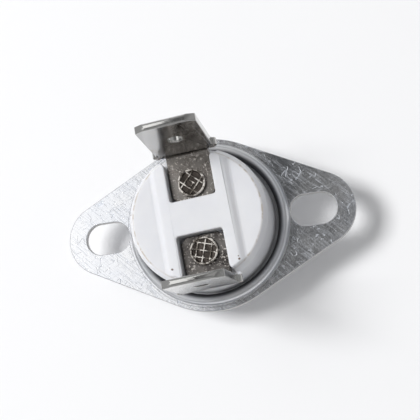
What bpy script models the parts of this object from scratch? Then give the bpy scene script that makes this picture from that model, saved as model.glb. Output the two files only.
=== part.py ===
# Snap-disc thermal switch with a ceramic body, in metres, +Z up.
# The origin is the middle of the cup's flat bottom, and +X runs through the two slots of the flange.
# From below: drawn cup with its flange, bimetal disc, disc guide, push pin, contacts, ceramic body,
# rivets and the two folded terminals.

import math

import bmesh
import bpy
from mathutils import Matrix, Vector

# Clearances between pieces
SEAT_GAP = 0.0001
CRIMP_GAP = 0.0003
CUP_CLEARANCE = 0.0003
HOLE_CLEARANCE = 0.0001
PIN_CLEARANCE = 0.00008
ARM_PLAY = 0.00025
DISC_PLAY = 0.00025

# Drawn cup below the flange
CUP_DROP = 0.0044
CUP_WALL = 0.00045
DISC_CUP_RADIUS = 0.0067
CUP_CORNER_RADIUS = 0.0013
LEDGE_HEIGHT = 0.0026
LEDGE_WIDTH = 0.0018
CUP_STEP_ROUND = 0.0003
FLANGE_ROOT_ROUND = 0.0002

# Flange, cut from the same sheet as the cup: brim beside the ring, slots, and ends beyond the slots
FLANGE_THICKNESS = 0.0007
FLANGE_BRIM_WIDTH = 0.00075
FLANGE_END_RADIUS = 0.0042
FLANGE_END_SHIFT = 0.0005
FLANGE_EDGE_ROUND = 0.00012
SLOT_WIDTH = 0.0036
SLOT_LENGTH = 0.0052
SLOT_LAND = 0.00015

# Crimped ring round the ceramic
RING_HEIGHT = 0.00075
RING_CREST_INSET = 0.00015
LIP_HEIGHT = 0.0003
LIP_GAP = 0.0002

# Bimetal disc
DISC_EDGE_PLAY = 0.00035
DISC_THICKNESS = 0.00025
DISC_CROWN = 0.0003

# Disc guide
GUIDE_THICKNESS = 0.0008
GUIDE_LIP_WIDTH = 0.0006
GUIDE_BOSS_RADIUS = 0.0019
GUIDE_BOSS_HEIGHT = 0.0006

# Push pin
PIN_RADIUS = 0.0008
PIN_END_ROUND = 0.0002

# Ceramic body, heights above the flange's upper face
BODY_RIM_STEP = 0.0004
BODY_WALL_DRAFT = 0.0002
BODY_WALL_TOP = 0.0049
BODY_SHOULDER_CUT = 0.0005
BODY_TOP = 0.0056
H_TOP = 0.00605
H_END_CUT = 0.00015
H_HALF_WIDTH = 0.0038
H_FOOT_HALF_WIDTH = 0.0044
BAR_HALF_WIDTH = 0.0019
POCKET_SIDE_GAP = 0.00015
POCKET_CORNER_ROUND = 0.0003
POCKET_MOUTH_ROUND = 0.0007
POCKET_MOUTH_DEPTH = 0.00125
POCKET_MOUTH_FLARE = 60
BODY_EDGE_ROUND = 0.00012
CHAMBER_WALL = 0.0012
CHAMBER_STEP = 0.0002
CHAMBER_ROOF_WEB = 0.0011
ARM_PAD_DROP = 0.0011
BODY_TURN = math.radians(4.2)
BODY_SHIFT = -0.0002

# Terminals, heights above the flange's upper face
STRIP_TOP = 0.00475
SHEET = 0.0008
STRIP_WIDTH = 0.0048
STRIP_CORNER_CUT = 0.0006
TAB_WIDTH = 0.00635
TAB_HEIGHT = 0.0098
TAB_STAND_OFF = 0.00005
TAB_CORNER_CUT_ACROSS = 0.0011
TAB_CORNER_CUT_ALONG = 0.00045
TAB_TIP_BEVEL = 0.00022
TAB_HOLE_RADIUS = 0.00085
TAB_HOLE_FROM_TIP = 0.0045
FOLD_RADIUS = 0.00035
NUB_RADIUS = 0.00045
NUB_RISE = 0.0009
UPPER_LEAN = math.radians(3.0)
LOWER_LEAN = math.radians(2.0)
SHEET_EDGE_ROUND = 0.00006

# Rivets
RIVET_OFFSET = 0.0038
RIVET_SHANK_RADIUS = 0.0009
RIVET_HEAD_RADIUS = 0.00155
RIVET_HEAD_EDGE = 0.0002
RIVET_HEAD_HEIGHT = 0.0004
RIVET_FOOT_RADIUS = 0.0013
RIVET_FOOT_HEIGHT = 0.0005

# Contact arm, its washer and the contacts
ARM_THICKNESS = 0.0002
ARM_CLAMP_RADIUS = 0.0017
ARM_TIP_RADIUS = 0.0009
WASHER_RADIUS = 0.0014
WASHER_THICKNESS = 0.0003
CONTACT_RADIUS = 0.0007
CONTACT_EDGE_CUT = 0.00012
CONTACT_SHANK_RADIUS = 0.00035
CONTACT_UPSET_RADIUS = 0.0005
CONTACT_UPSET_HEIGHT = 0.00025
MOVING_CONTACT_HEIGHT = 0.0005
FIXED_CONTACT_HEIGHT = 0.00035
FIXED_PLATE_THICKNESS = 0.0005
FIXED_PLATE_WIDTH = 0.0034
FIXED_PLATE_CORNER_ROUND = 0.0003

# Facets
TURNS_LARGE = 64
TURNS_MEDIUM = 40
TURNS_SMALL = 24
FLANGE_END_STEPS = 22
FLANGE_MIDDLE_STEPS = 20
SLOT_END_STEPS = 14
CHAMBER_STEPS = 17
CORNER_STEPS = 4
CUP_CORNER_STEPS = 5
CUP_ROUND_STEPS = 2
FOLD_SLICES = 8
CROWN_STEPS = 5
DISC_RINGS = 4
DOME_STEPS = 4
SMOOTH_ANGLE = math.radians(30)
BEVEL_ANGLE = math.radians(32)
SAME_POINT = 1e-7
SAME_CORNER = 2e-6

# Radii and offsets that follow from the sizes, from the cup outwards and then inwards through the ceramic
BODY_CUP_RADIUS = DISC_CUP_RADIUS + LEDGE_WIDTH
CUP_OUTER_RADIUS = BODY_CUP_RADIUS + CUP_WALL
RING_CREST_RADIUS = CUP_OUTER_RADIUS - RING_CREST_INSET
RING_FOOT_RADIUS = CUP_OUTER_RADIUS + FLANGE_ROOT_ROUND
FLANGE_MIDDLE_RADIUS = RING_FOOT_RADIUS + FLANGE_BRIM_WIDTH
SLOT_OFFSET = RING_FOOT_RADIUS + SLOT_LAND + SLOT_LENGTH / 2
FLANGE_END_OFFSET = SLOT_OFFSET + FLANGE_END_SHIFT
BODY_RIM_RADIUS = BODY_CUP_RADIUS - CUP_CLEARANCE
BODY_NECK_RADIUS = BODY_RIM_RADIUS - BODY_RIM_STEP
LIP_RADIUS = BODY_NECK_RADIUS + LIP_GAP
BODY_WALL_TOP_RADIUS = BODY_NECK_RADIUS - BODY_WALL_DRAFT
BODY_TOP_RADIUS = BODY_WALL_TOP_RADIUS - BODY_SHOULDER_CUT
H_END_RADIUS = BODY_TOP_RADIUS - H_END_CUT
CHAMBER_RADIUS = BODY_TOP_RADIUS - CHAMBER_WALL
TAB_FACE_RADIUS = BODY_TOP_RADIUS + TAB_STAND_OFF
DISC_RADIUS = DISC_CUP_RADIUS - DISC_EDGE_PLAY

# Places that follow from the sizes, heights above the cup's bottom
FLANGE_LOW = CUP_DROP
FLANGE_HIGH = CUP_DROP + FLANGE_THICKNESS
GUIDE_LOW = LEDGE_HEIGHT + SEAT_GAP
GUIDE_HIGH = GUIDE_LOW + GUIDE_THICKNESS
BODY_LOW = GUIDE_HIGH + SEAT_GAP
SHOULDER = FLANGE_HIGH - CRIMP_GAP
STRIP_HIGH = FLANGE_HIGH + STRIP_TOP
STRIP_LOW = STRIP_HIGH - SHEET
POCKET_FLOOR = STRIP_LOW - SEAT_GAP
CHAMBER_ROOF = POCKET_FLOOR - CHAMBER_ROOF_WEB
ARM_PAD = CHAMBER_ROOF - ARM_PAD_DROP
ARM_HIGH = ARM_PAD - ARM_PLAY
ARM_LOW = ARM_HIGH - ARM_THICKNESS
WASHER_HIGH = ARM_LOW - ARM_PLAY
WASHER_LOW = WASHER_HIGH - WASHER_THICKNESS
MOVING_CONTACT_LOW = ARM_LOW - SEAT_GAP - MOVING_CONTACT_HEIGHT
FIXED_CONTACT_TOP = MOVING_CONTACT_LOW - SEAT_GAP
PLATE_HIGH = FIXED_CONTACT_TOP - FIXED_CONTACT_HEIGHT - SEAT_GAP
PLATE_LOW = PLATE_HIGH - FIXED_PLATE_THICKNESS
PLATE_PAD = PLATE_HIGH + SEAT_GAP
PLATE_INNER_END = PIN_RADIUS + CUP_CLEARANCE
CONTACT_OFFSET = PLATE_INNER_END + CONTACT_RADIUS
ARM_END = CONTACT_OFFSET + ARM_TIP_RADIUS
PAD_EDGE = ARM_END + CRIMP_GAP
CORNER_CENTRE_RADIUS = DISC_CUP_RADIUS - CUP_CORNER_RADIUS
CORNER_CENTRE_HEIGHT = CUP_WALL + CUP_CORNER_RADIUS
DISC_EDGE_REACH = DISC_RADIUS - CORNER_CENTRE_RADIUS
DISC_RIM_LOW = CORNER_CENTRE_HEIGHT - math.sqrt((CUP_CORNER_RADIUS - SEAT_GAP) ** 2 - DISC_EDGE_REACH**2)
PIN_LOW = DISC_RIM_LOW - DISC_CROWN + DISC_THICKNESS + SEAT_GAP
PIN_HIGH = ARM_LOW - SEAT_GAP


def material(name, colour, roughness, metallic=0.0):
    """One Principled material with the colour, roughness and metallic value of a piece."""
    made = bpy.data.materials.new(name)
    made.use_nodes = True
    shader = made.node_tree.nodes["Principled BSDF"]
    shader.inputs["Base Color"].default_value = (*colour, 1.0)
    shader.inputs["Roughness"].default_value = roughness
    shader.inputs["Metallic"].default_value = metallic
    made.diffuse_color = (*colour, 1.0)
    return made


def piece(name, shape, finish, parent=None, location=(0.0, 0.0, 0.0), turn=0.0):
    """Puts a finished bmesh into the scene as one named object, shaded smooth between its sharp edges."""
    mesh = bpy.data.meshes.new(name)
    bmesh.ops.recalc_face_normals(shape, faces=shape.faces[:])
    if shape.calc_volume(signed=True) < 0:
        bmesh.ops.reverse_faces(shape, faces=shape.faces[:])
    shape.to_mesh(mesh)
    shape.free()
    mesh.shade_smooth()
    mesh.set_sharp_from_angle(angle=SMOOTH_ANGLE)
    made = bpy.data.objects.new(name, mesh)
    bpy.context.scene.collection.objects.link(made)
    if finish is not None:
        mesh.materials.append(finish)
    made.parent = parent
    made.location = location
    made.rotation_euler = (0.0, 0.0, turn)
    return made


def tool(name, shape, parent=None, location=(0.0, 0.0, 0.0)):
    """A shape that only cuts or joins: it stays out of the render."""
    made = piece(name, shape, None, parent, location)
    made.hide_render = True
    made.display_type = "WIRE"
    return made


def combine(target, other, operation):
    step = target.modifiers.new(other.name, "BOOLEAN")
    step.operation = operation
    step.solver = "EXACT"
    step.object = other


def merge_corners(target):
    """Joins the double corners that cuts leave where two faces meet on one line."""
    step = target.modifiers.new("merged corners", "WELD")
    step.merge_threshold = SAME_CORNER


def soften(target, width):
    merge_corners(target)
    step = target.modifiers.new("softened edges", "BEVEL")
    step.width = width
    step.segments = 1
    step.limit_method = "ANGLE"
    step.angle_limit = BEVEL_ANGLE


def arc(centre, radius, start, end, steps):
    """Points along an arc, from the start angle to the end angle in degrees."""
    points = []
    for step in range(steps + 1):
        angle = math.radians(start + (end - start) * step / steps)
        points.append((centre[0] + radius * math.cos(angle), centre[1] + radius * math.sin(angle)))
    return points


def eased(line, ease):
    """Takes each inner corner off a line of points, leaving a short flat there."""
    points = [Vector(point) for point in line]
    kept = [points[0]]
    for before, corner, after in zip(points, points[1:], points[2:]):
        kept.append(corner + ease * (before - corner).normalized())
        kept.append(corner + ease * (after - corner).normalized())
    kept.append(points[-1])
    return [tuple(point) for point in kept]


def is_flat(vert):
    return all(abs(edge.other_vert(vert).co.z - vert.co.z) < SAME_POINT for edge in vert.link_edges)


def turned(profile, turns, closed=False):
    """Spins a profile of (radius, height) points round Z; an open profile starts and ends on the axis.
    A flat end becomes one face, so that later cuts leave no short edges in it."""
    shape = bmesh.new()
    verts = [shape.verts.new((radius, 0.0, height)) for radius, height in profile]
    edges = [shape.edges.new(pair) for pair in zip(verts, verts[1:])]
    if closed:
        edges.append(shape.edges.new((verts[-1], verts[0])))
    bmesh.ops.spin(
        shape, geom=verts + edges, cent=(0, 0, 0), axis=(0, 0, 1), angle=math.tau, steps=turns, use_merge=True
    )
    bmesh.ops.remove_doubles(shape, verts=shape.verts[:], dist=SAME_POINT)
    flat_poles = [vert for vert in shape.verts if vert.co.xy.length < SAME_POINT and is_flat(vert)]
    bmesh.ops.dissolve_verts(shape, verts=flat_poles)
    return shape


def plate(outline, low, high):
    """A flat outline of (x, y) points, extruded from one height to another."""
    shape = bmesh.new()
    face = shape.faces.new([shape.verts.new((x, y, low)) for x, y in outline])
    grown = bmesh.ops.extrude_face_region(shape, geom=[face])
    top = [item for item in grown["geom"] if isinstance(item, bmesh.types.BMVert)]
    bmesh.ops.translate(shape, verts=top, vec=(0.0, 0.0, high - low))
    return shape


def rod(radius, low, high, turns=TURNS_SMALL):
    return turned([(0.0, low), (radius, low), (radius, high), (0.0, high)], turns)


def rounded_rectangle(x_low, x_high, y_low, y_high, radius):
    outline = arc((x_high - radius, y_low + radius), radius, -90, 0, CORNER_STEPS)
    outline += arc((x_high - radius, y_high - radius), radius, 0, 90, CORNER_STEPS)
    outline += arc((x_low + radius, y_high - radius), radius, 90, 180, CORNER_STEPS)
    outline += arc((x_low + radius, y_low + radius), radius, 180, 270, CORNER_STEPS)
    return outline


def slot_outline(centre_x, length, width):
    reach = (length - width) / 2
    outline = arc((centre_x + reach, 0.0), width / 2, -90, 90, SLOT_END_STEPS)
    outline += arc((centre_x - reach, 0.0), width / 2, 90, 270, SLOT_END_STEPS)
    return outline


def flange_outline():
    """A middle arc above and below and an arc round each end, joined by tangent lines."""
    lean = math.degrees(math.acos((FLANGE_MIDDLE_RADIUS - FLANGE_END_RADIUS) / FLANGE_END_OFFSET))
    middle = (0.0, 0.0)
    outline = arc((FLANGE_END_OFFSET, 0.0), FLANGE_END_RADIUS, -lean, lean, FLANGE_END_STEPS)
    outline += arc(middle, FLANGE_MIDDLE_RADIUS, lean, 180 - lean, FLANGE_MIDDLE_STEPS)
    outline += arc((-FLANGE_END_OFFSET, 0.0), FLANGE_END_RADIUS, 180 - lean, 180 + lean, FLANGE_END_STEPS)
    outline += arc(middle, FLANGE_MIDDLE_RADIUS, 180 + lean, 360 - lean, FLANGE_MIDDLE_STEPS)
    return outline


def ring_crown(from_radius, to_radius, from_height):
    """Quarter of an oval, from a foot or lip up to the ring's crest, at heights above the cup's bottom."""
    points = []
    for step in range(CROWN_STEPS + 1):
        angle = math.pi / 2 * step / CROWN_STEPS
        radius = to_radius + (from_radius - to_radius) * math.cos(angle)
        points.append((radius, FLANGE_HIGH + from_height + (RING_HEIGHT - from_height) * math.sin(angle)))
    return points


def cup_profile():
    """Section of the drawn cup: outside from the axis up to the ring, then back down inside."""
    outer_low_radius = DISC_CUP_RADIUS + CUP_WALL
    ledge_under = LEDGE_HEIGHT - CUP_WALL
    root = FLANGE_ROOT_ROUND
    buried = FLANGE_THICKNESS / 3
    profile = [(0.0, 0.0)]
    corner = (CORNER_CENTRE_RADIUS, CORNER_CENTRE_HEIGHT)
    tight, wide, steps = CUP_STEP_ROUND, CUP_STEP_ROUND + CUP_WALL, CUP_ROUND_STEPS
    profile += arc(corner, CUP_CORNER_RADIUS + CUP_WALL, -90, 0, CUP_CORNER_STEPS)
    profile += arc((outer_low_radius + tight, ledge_under - tight), tight, 180, 90, steps)
    profile += arc((CUP_OUTER_RADIUS - wide, ledge_under + wide), wide, -90, 0, steps)
    profile += arc((RING_FOOT_RADIUS, FLANGE_LOW - root), root, 180, 100, steps)
    profile.append((RING_FOOT_RADIUS, FLANGE_LOW + buried))
    profile += ring_crown(RING_FOOT_RADIUS, RING_CREST_RADIUS, 0.0)
    profile += reversed(ring_crown(LIP_RADIUS, RING_CREST_RADIUS, LIP_HEIGHT)[:-1])
    profile.append((LIP_RADIUS, FLANGE_HIGH))
    profile.append((BODY_CUP_RADIUS, FLANGE_HIGH))
    profile += arc((BODY_CUP_RADIUS - tight, LEDGE_HEIGHT + tight), tight, 0, -90, steps)
    profile += arc((DISC_CUP_RADIUS + wide, LEDGE_HEIGHT - wide), wide, 90, 180, steps)
    profile += arc(corner, CUP_CORNER_RADIUS, 0, -90, CUP_CORNER_STEPS)
    profile.append((0.0, CUP_WALL))
    return profile


def make_flanged_cup(finish):
    shape = plate(flange_outline(), FLANGE_LOW, FLANGE_HIGH)
    cup = piece("flanged_cup", shape, finish)
    for side, name in ((-1, "left"), (1, "right")):
        outline = slot_outline(side * SLOT_OFFSET, SLOT_LENGTH, SLOT_WIDTH)
        slot = plate(outline, FLANGE_LOW - FLANGE_THICKNESS, FLANGE_HIGH + FLANGE_THICKNESS)
        combine(cup, tool(f"{name} slot cutter", slot), "DIFFERENCE")
    soften(cup, FLANGE_EDGE_ROUND)
    mouth_radius = BODY_CUP_RADIUS + CUP_WALL / 2
    mouth = rod(mouth_radius, FLANGE_LOW - FLANGE_THICKNESS, FLANGE_HIGH + FLANGE_THICKNESS, TURNS_LARGE)
    combine(cup, tool("mouth cutter", mouth), "DIFFERENCE")
    combine(cup, tool("drawn shell", turned(cup_profile(), TURNS_LARGE)), "UNION")
    merge_corners(cup)
    return cup


def disc_height(radius):
    """Underside of the cold disc: a shallow bowl whose rim is the highest part."""
    return -DISC_CROWN * (1 - (radius / DISC_RADIUS) ** 2)


def make_bimetal_disc(finish, parent):
    radii = [DISC_RADIUS * step / DISC_RINGS for step in range(DISC_RINGS + 1)]
    profile = [(radius, disc_height(radius)) for radius in radii]
    profile += [(radius, disc_height(radius) + DISC_THICKNESS) for radius in reversed(radii)]
    return piece("bimetal_disc", turned(profile, TURNS_MEDIUM), finish, parent, (0.0, 0.0, DISC_RIM_LOW))


def make_disc_guide(finish, parent):
    """Ceramic plate on the cup's ledge: a lip over the disc's rim and a bored boss for the pin."""
    lip_low = DISC_RIM_LOW + DISC_THICKNESS + DISC_PLAY - GUIDE_LOW
    lip_outer = DISC_CUP_RADIUS - CUP_CLEARANCE
    bore = PIN_RADIUS + PIN_CLEARANCE
    boss_top = GUIDE_THICKNESS + GUIDE_BOSS_HEIGHT
    profile = [(bore, 0.0), (lip_outer - GUIDE_LIP_WIDTH, 0.0), (lip_outer - GUIDE_LIP_WIDTH, lip_low)]
    profile += [(lip_outer, lip_low), (lip_outer, 0.0), (BODY_RIM_RADIUS, 0.0)]
    profile += [(BODY_RIM_RADIUS, GUIDE_THICKNESS), (GUIDE_BOSS_RADIUS, GUIDE_THICKNESS)]
    profile += [(GUIDE_BOSS_RADIUS, boss_top), (bore, boss_top)]
    return piece("disc_guide", turned(profile, TURNS_MEDIUM, closed=True), finish, parent, (0.0, 0.0, GUIDE_LOW))


def make_push_pin(finish, parent):
    length = PIN_HIGH - PIN_LOW
    inner = PIN_RADIUS - PIN_END_ROUND
    profile = [(0.0, 0.0)] + arc((inner, PIN_END_ROUND), PIN_END_ROUND, -90, 0, 3)
    profile += arc((inner, length - PIN_END_ROUND), PIN_END_ROUND, 0, 90, 3) + [(0.0, length)]
    return piece("push_pin", turned(profile, TURNS_SMALL), finish, parent, (0.0, 0.0, PIN_LOW))


def pocket_outline(side, reach):
    """Terminal pocket: rounded inner corners beside the bar, and a mouth that flares out to the body's edge."""
    half = STRIP_WIDTH / 2 + POCKET_SIDE_GAP
    turn_in = POCKET_CORNER_ROUND
    mouth_start = BODY_TOP_RADIUS - POCKET_MOUTH_DEPTH
    flare_end = 180 - POCKET_MOUTH_FLARE
    right = arc((half - turn_in, BAR_HALF_WIDTH + turn_in), turn_in, -90, 0, CORNER_STEPS)
    right += arc((half + POCKET_MOUTH_ROUND, mouth_start), POCKET_MOUTH_ROUND, 180, flare_end, CORNER_STEPS)
    x, y = right[-1]
    right.append((x + (reach - y) * math.tan(math.radians(POCKET_MOUTH_FLARE)), reach))
    outline = right + [(-x, y) for x, y in reversed(right)]
    return [(side * x, side * y) for x, y in outline]


def chamber_middle(radius, half_width):
    """The part of the round switch chamber that lies between two chords, half_width from the middle."""
    end = math.degrees(math.asin(half_width / radius))
    outline = arc((0.0, 0.0), radius, -end, end, CHAMBER_STEPS)
    outline += arc((0.0, 0.0), radius, 180 - end, 180 + end, CHAMBER_STEPS)
    return outline


def make_ceramic_body(finish, parent):
    """Turned blank, then the side steps, terminal pockets, switch chamber and rivet holes are cut from it."""
    h_top = FLANGE_HIGH + H_TOP
    body_top = FLANGE_HIGH + BODY_TOP
    wall_top = FLANGE_HIGH + BODY_WALL_TOP
    profile = [(0.0, BODY_LOW), (BODY_RIM_RADIUS, BODY_LOW), (BODY_RIM_RADIUS, SHOULDER)]
    profile += [(BODY_NECK_RADIUS, SHOULDER), (BODY_WALL_TOP_RADIUS, wall_top)]
    profile += [(BODY_TOP_RADIUS, body_top), (H_END_RADIUS, h_top), (0.0, h_top)]
    body = piece("ceramic_body", turned(eased(profile, BODY_EDGE_ROUND), TURNS_LARGE), finish, parent)

    above = h_top + SHEET
    beyond = BODY_RIM_RADIUS + SHEET
    h_crest = H_HALF_WIDTH - 2 * BODY_EDGE_ROUND
    for side, name in ((-1, "left"), (1, "right")):
        section = [(H_FOOT_HALF_WIDTH, body_top), (H_HALF_WIDTH, h_top - BODY_EDGE_ROUND)]
        section += [(h_crest, h_top + BODY_EDGE_ROUND), (h_crest, above), (beyond, above), (beyond, body_top)]
        wedge = plate([(side * x, z) for x, z in section], -beyond, beyond)
        wedge.transform(Matrix.Rotation(math.radians(90), 4, "X"))
        combine(body, tool(f"{name} step cutter", wedge, parent), "DIFFERENCE")

    for side, name in ((1, "upper"), (-1, "lower")):
        pocket = plate(pocket_outline(side, beyond), POCKET_FLOOR, above)
        combine(body, tool(f"{name} pocket cutter", pocket, parent), "DIFFERENCE")

    below = BODY_LOW - SHEET
    arm_room = CHAMBER_RADIUS - CHAMBER_STEP
    middle_room = arm_room - CHAMBER_STEP
    half_disc = arc((0.0, 0.0), arm_room, 0, 180, 2 * CHAMBER_STEPS)
    rooms = (("low", rod(CHAMBER_RADIUS, below, PLATE_PAD, TURNS_MEDIUM)),)
    rooms += (("arm side", plate(half_disc, below, ARM_PAD)),)
    rooms += (("middle", plate(chamber_middle(middle_room, PAD_EDGE), below, CHAMBER_ROOF)),)
    for name, room in rooms:
        combine(body, tool(f"{name} chamber cutter", room, parent), "DIFFERENCE")
    for side, name in ((1, "upper"), (-1, "lower")):
        hole = rod(RIVET_SHANK_RADIUS + HOLE_CLEARANCE, below, above)
        drill = tool(f"{name} rivet hole cutter", hole, parent, (0.0, side * RIVET_OFFSET, 0.0))
        combine(body, drill, "DIFFERENCE")
    merge_corners(body)
    return body


def folded(point, fold_start, lean):
    """Where a point (across, along, up) of the flat blank lies once the tab is folded up."""
    middle = FOLD_RADIUS + SHEET / 2
    full = math.radians(90) - lean
    x, along, up = point
    past = along - fold_start
    if past <= 0:
        return Vector(point)
    angle = min(past / middle, full)
    rest = max(past - middle * full, 0.0)
    reach = FOLD_RADIUS + SHEET - up
    y = fold_start + reach * math.sin(angle) + rest * math.cos(angle)
    z = SHEET + FOLD_RADIUS - reach * math.cos(angle) + rest * math.sin(angle)
    return Vector((x, y, z))


def terminal_blank(fold_start, fold_end, tip):
    """Flat outline of a terminal: cut inner corners, side nubs on the tab and a cut tip."""
    strip = STRIP_WIDTH / 2
    tab = TAB_WIDTH / 2
    inner = BAR_HALF_WIDTH + SEAT_GAP - RIVET_OFFSET
    nub = (tab, fold_end + NUB_RISE - FOLD_RADIUS)
    right = [(strip - STRIP_CORNER_CUT, inner), (strip, inner + STRIP_CORNER_CUT), (strip, fold_end), (tab, fold_end)]
    right += arc(nub, NUB_RADIUS, -90, 90, 6)
    right += [(tab, tip - TAB_CORNER_CUT_ALONG), (tab - TAB_CORNER_CUT_ACROSS, tip)]
    return right + [(-x, along) for x, along in reversed(right)]


def make_terminal(name, finish, parent, side, lean):
    fold_start = TAB_FACE_RADIUS - FOLD_RADIUS - RIVET_OFFSET
    fold_end = fold_start + (FOLD_RADIUS + SHEET / 2) * (math.radians(90) - lean)
    tip = fold_end + TAB_HEIGHT - FOLD_RADIUS
    shape = plate(terminal_blank(fold_start, fold_end, tip), 0.0, SHEET)
    tip_edges = [edge for edge in shape.edges if all(abs(vert.co.y - tip) < SAME_POINT for vert in edge.verts)]
    tip_edges = [edge for edge in tip_edges if abs(edge.verts[0].co.z - edge.verts[1].co.z) < SAME_POINT]
    bmesh.ops.bevel(shape, geom=tip_edges, offset=TAB_TIP_BEVEL, segments=1, affect="EDGES")
    for step in range(FOLD_SLICES + 1):
        along = fold_start + (fold_end - fold_start) * step / FOLD_SLICES
        everything = shape.verts[:] + shape.edges[:] + shape.faces[:]
        cut = {"plane_co": (0, along, 0), "plane_no": (0, 1, 0), "dist": SAME_POINT}
        bmesh.ops.bisect_plane(shape, geom=everything, **cut)
    for vert in shape.verts:
        vert.co = folded(vert.co, fold_start, lean)
    turn = 0.0 if side > 0 else math.pi
    terminal = piece(name, shape, finish, parent, (0.0, side * RIVET_OFFSET, STRIP_LOW), turn)

    hole = rod(RIVET_SHANK_RADIUS + HOLE_CLEARANCE, -SHEET, 2 * SHEET)
    combine(terminal, tool(f"{name} rivet hole cutter", hole, terminal), "DIFFERENCE")
    centre = folded((0.0, tip - TAB_HOLE_FROM_TIP, SHEET / 2), fold_start, lean)
    punch = rod(TAB_HOLE_RADIUS, -SHEET, SHEET)
    punch.transform(Matrix.Translation(centre) @ Matrix.Rotation(math.radians(90) - lean, 4, "X"))
    combine(terminal, tool(f"{name} tab hole cutter", punch, terminal), "DIFFERENCE")
    soften(terminal, SHEET_EDGE_ROUND)
    merge_corners(terminal)
    return terminal


def make_rivet(name, finish, parent, side, foot_high):
    """Rivet through strip and ceramic: domed head above, set foot below; its origin is under the head."""
    head_low = STRIP_HIGH + SEAT_GAP
    foot = foot_high - head_low
    foot_corner = RIVET_FOOT_HEIGHT / 2
    profile = [(0.0, foot - RIVET_FOOT_HEIGHT), (RIVET_FOOT_RADIUS - foot_corner, foot - RIVET_FOOT_HEIGHT)]
    profile += [(RIVET_FOOT_RADIUS, foot - foot_corner), (RIVET_FOOT_RADIUS, foot)]
    profile += [(RIVET_SHANK_RADIUS, foot), (RIVET_SHANK_RADIUS, 0.0), (RIVET_HEAD_RADIUS, 0.0)]
    profile += [(RIVET_HEAD_RADIUS, RIVET_HEAD_EDGE)]
    for step in range(1, DOME_STEPS):
        angle = math.pi / 2 * step / DOME_STEPS
        rise = (RIVET_HEAD_HEIGHT - RIVET_HEAD_EDGE) * math.sin(angle)
        profile.append((RIVET_HEAD_RADIUS * math.cos(angle), RIVET_HEAD_EDGE + rise))
    profile.append((0.0, RIVET_HEAD_HEIGHT))
    return piece(name, turned(profile, TURNS_SMALL), finish, parent, (0.0, side * RIVET_OFFSET, head_low))


def make_contact(name, finish, parent, location, head, sheet, pointing):
    """Silver contact: head on one side of its sheet, thin shank through it, upset on the other side."""
    cut = CONTACT_EDGE_CUT
    upset_low = SEAT_GAP + sheet + SEAT_GAP
    profile = [(0.0, -head), (CONTACT_RADIUS - cut, -head), (CONTACT_RADIUS, cut - head)]
    profile += [(CONTACT_RADIUS, 0.0), (CONTACT_SHANK_RADIUS, 0.0), (CONTACT_SHANK_RADIUS, upset_low)]
    profile += [(CONTACT_UPSET_RADIUS, upset_low), (CONTACT_UPSET_RADIUS, upset_low + CONTACT_UPSET_HEIGHT)]
    profile += [(0.0, upset_low + CONTACT_UPSET_HEIGHT)]
    shape = turned([(radius, -pointing * height) for radius, height in profile], TURNS_SMALL)
    return piece(name, shape, finish, parent, location)


def make_contact_arm(finish, parent):
    """Spring blade, wide at the rivet and narrow at the contact; the origin is on the axis it swings about."""
    spread = RIVET_OFFSET + CONTACT_OFFSET
    lean = math.degrees(math.acos((ARM_CLAMP_RADIUS - ARM_TIP_RADIUS) / spread))
    outline = arc((0.0, 0.0), ARM_CLAMP_RADIUS, lean - 90, 270 - lean, 20)
    outline += arc((0.0, -spread), ARM_TIP_RADIUS, 270 - lean, 270 + lean, 12)
    half = ARM_THICKNESS / 2
    arm = piece("contact_arm", plate(outline, -half, half), finish, parent)
    rivet_hole = rod(RIVET_SHANK_RADIUS + HOLE_CLEARANCE, -SHEET, SHEET)
    combine(arm, tool("arm rivet hole cutter", rivet_hole, arm), "DIFFERENCE")
    contact_hole = rod(CONTACT_SHANK_RADIUS + HOLE_CLEARANCE, -SHEET, SHEET)
    combine(arm, tool("arm contact hole cutter", contact_hole, arm, (0.0, -spread, 0.0)), "DIFFERENCE")
    return arm


def make_arm_washer(finish, parent):
    bore = RIVET_SHANK_RADIUS + HOLE_CLEARANCE
    profile = [(bore, 0.0), (WASHER_RADIUS, 0.0), (WASHER_RADIUS, WASHER_THICKNESS), (bore, WASHER_THICKNESS)]
    shape = turned(profile, TURNS_SMALL, closed=True)
    return piece("arm_washer", shape, finish, parent, (0.0, RIVET_OFFSET, WASHER_LOW))


def make_fixed_contact_plate(finish, parent):
    """Flat plate under the lower pad, long enough to carry the fixed contact beside the pin."""
    outer_end = RIVET_OFFSET + RIVET_FOOT_RADIUS
    half = FIXED_PLATE_WIDTH / 2
    outline = rounded_rectangle(-half, half, -outer_end, -PLATE_INNER_END, FIXED_PLATE_CORNER_ROUND)
    made = piece("fixed_contact_plate", plate(outline, PLATE_LOW, PLATE_HIGH), finish, parent)
    holes = (("plate rivet hole cutter", RIVET_OFFSET, RIVET_SHANK_RADIUS),)
    holes += (("plate contact hole cutter", CONTACT_OFFSET, CONTACT_SHANK_RADIUS),)
    for name, offset, radius in holes:
        hole = rod(radius + HOLE_CLEARANCE, PLATE_LOW - SHEET, PLATE_HIGH + SHEET)
        combine(made, tool(name, hole, parent, (0.0, -offset, 0.0)), "DIFFERENCE")
    return made


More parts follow.
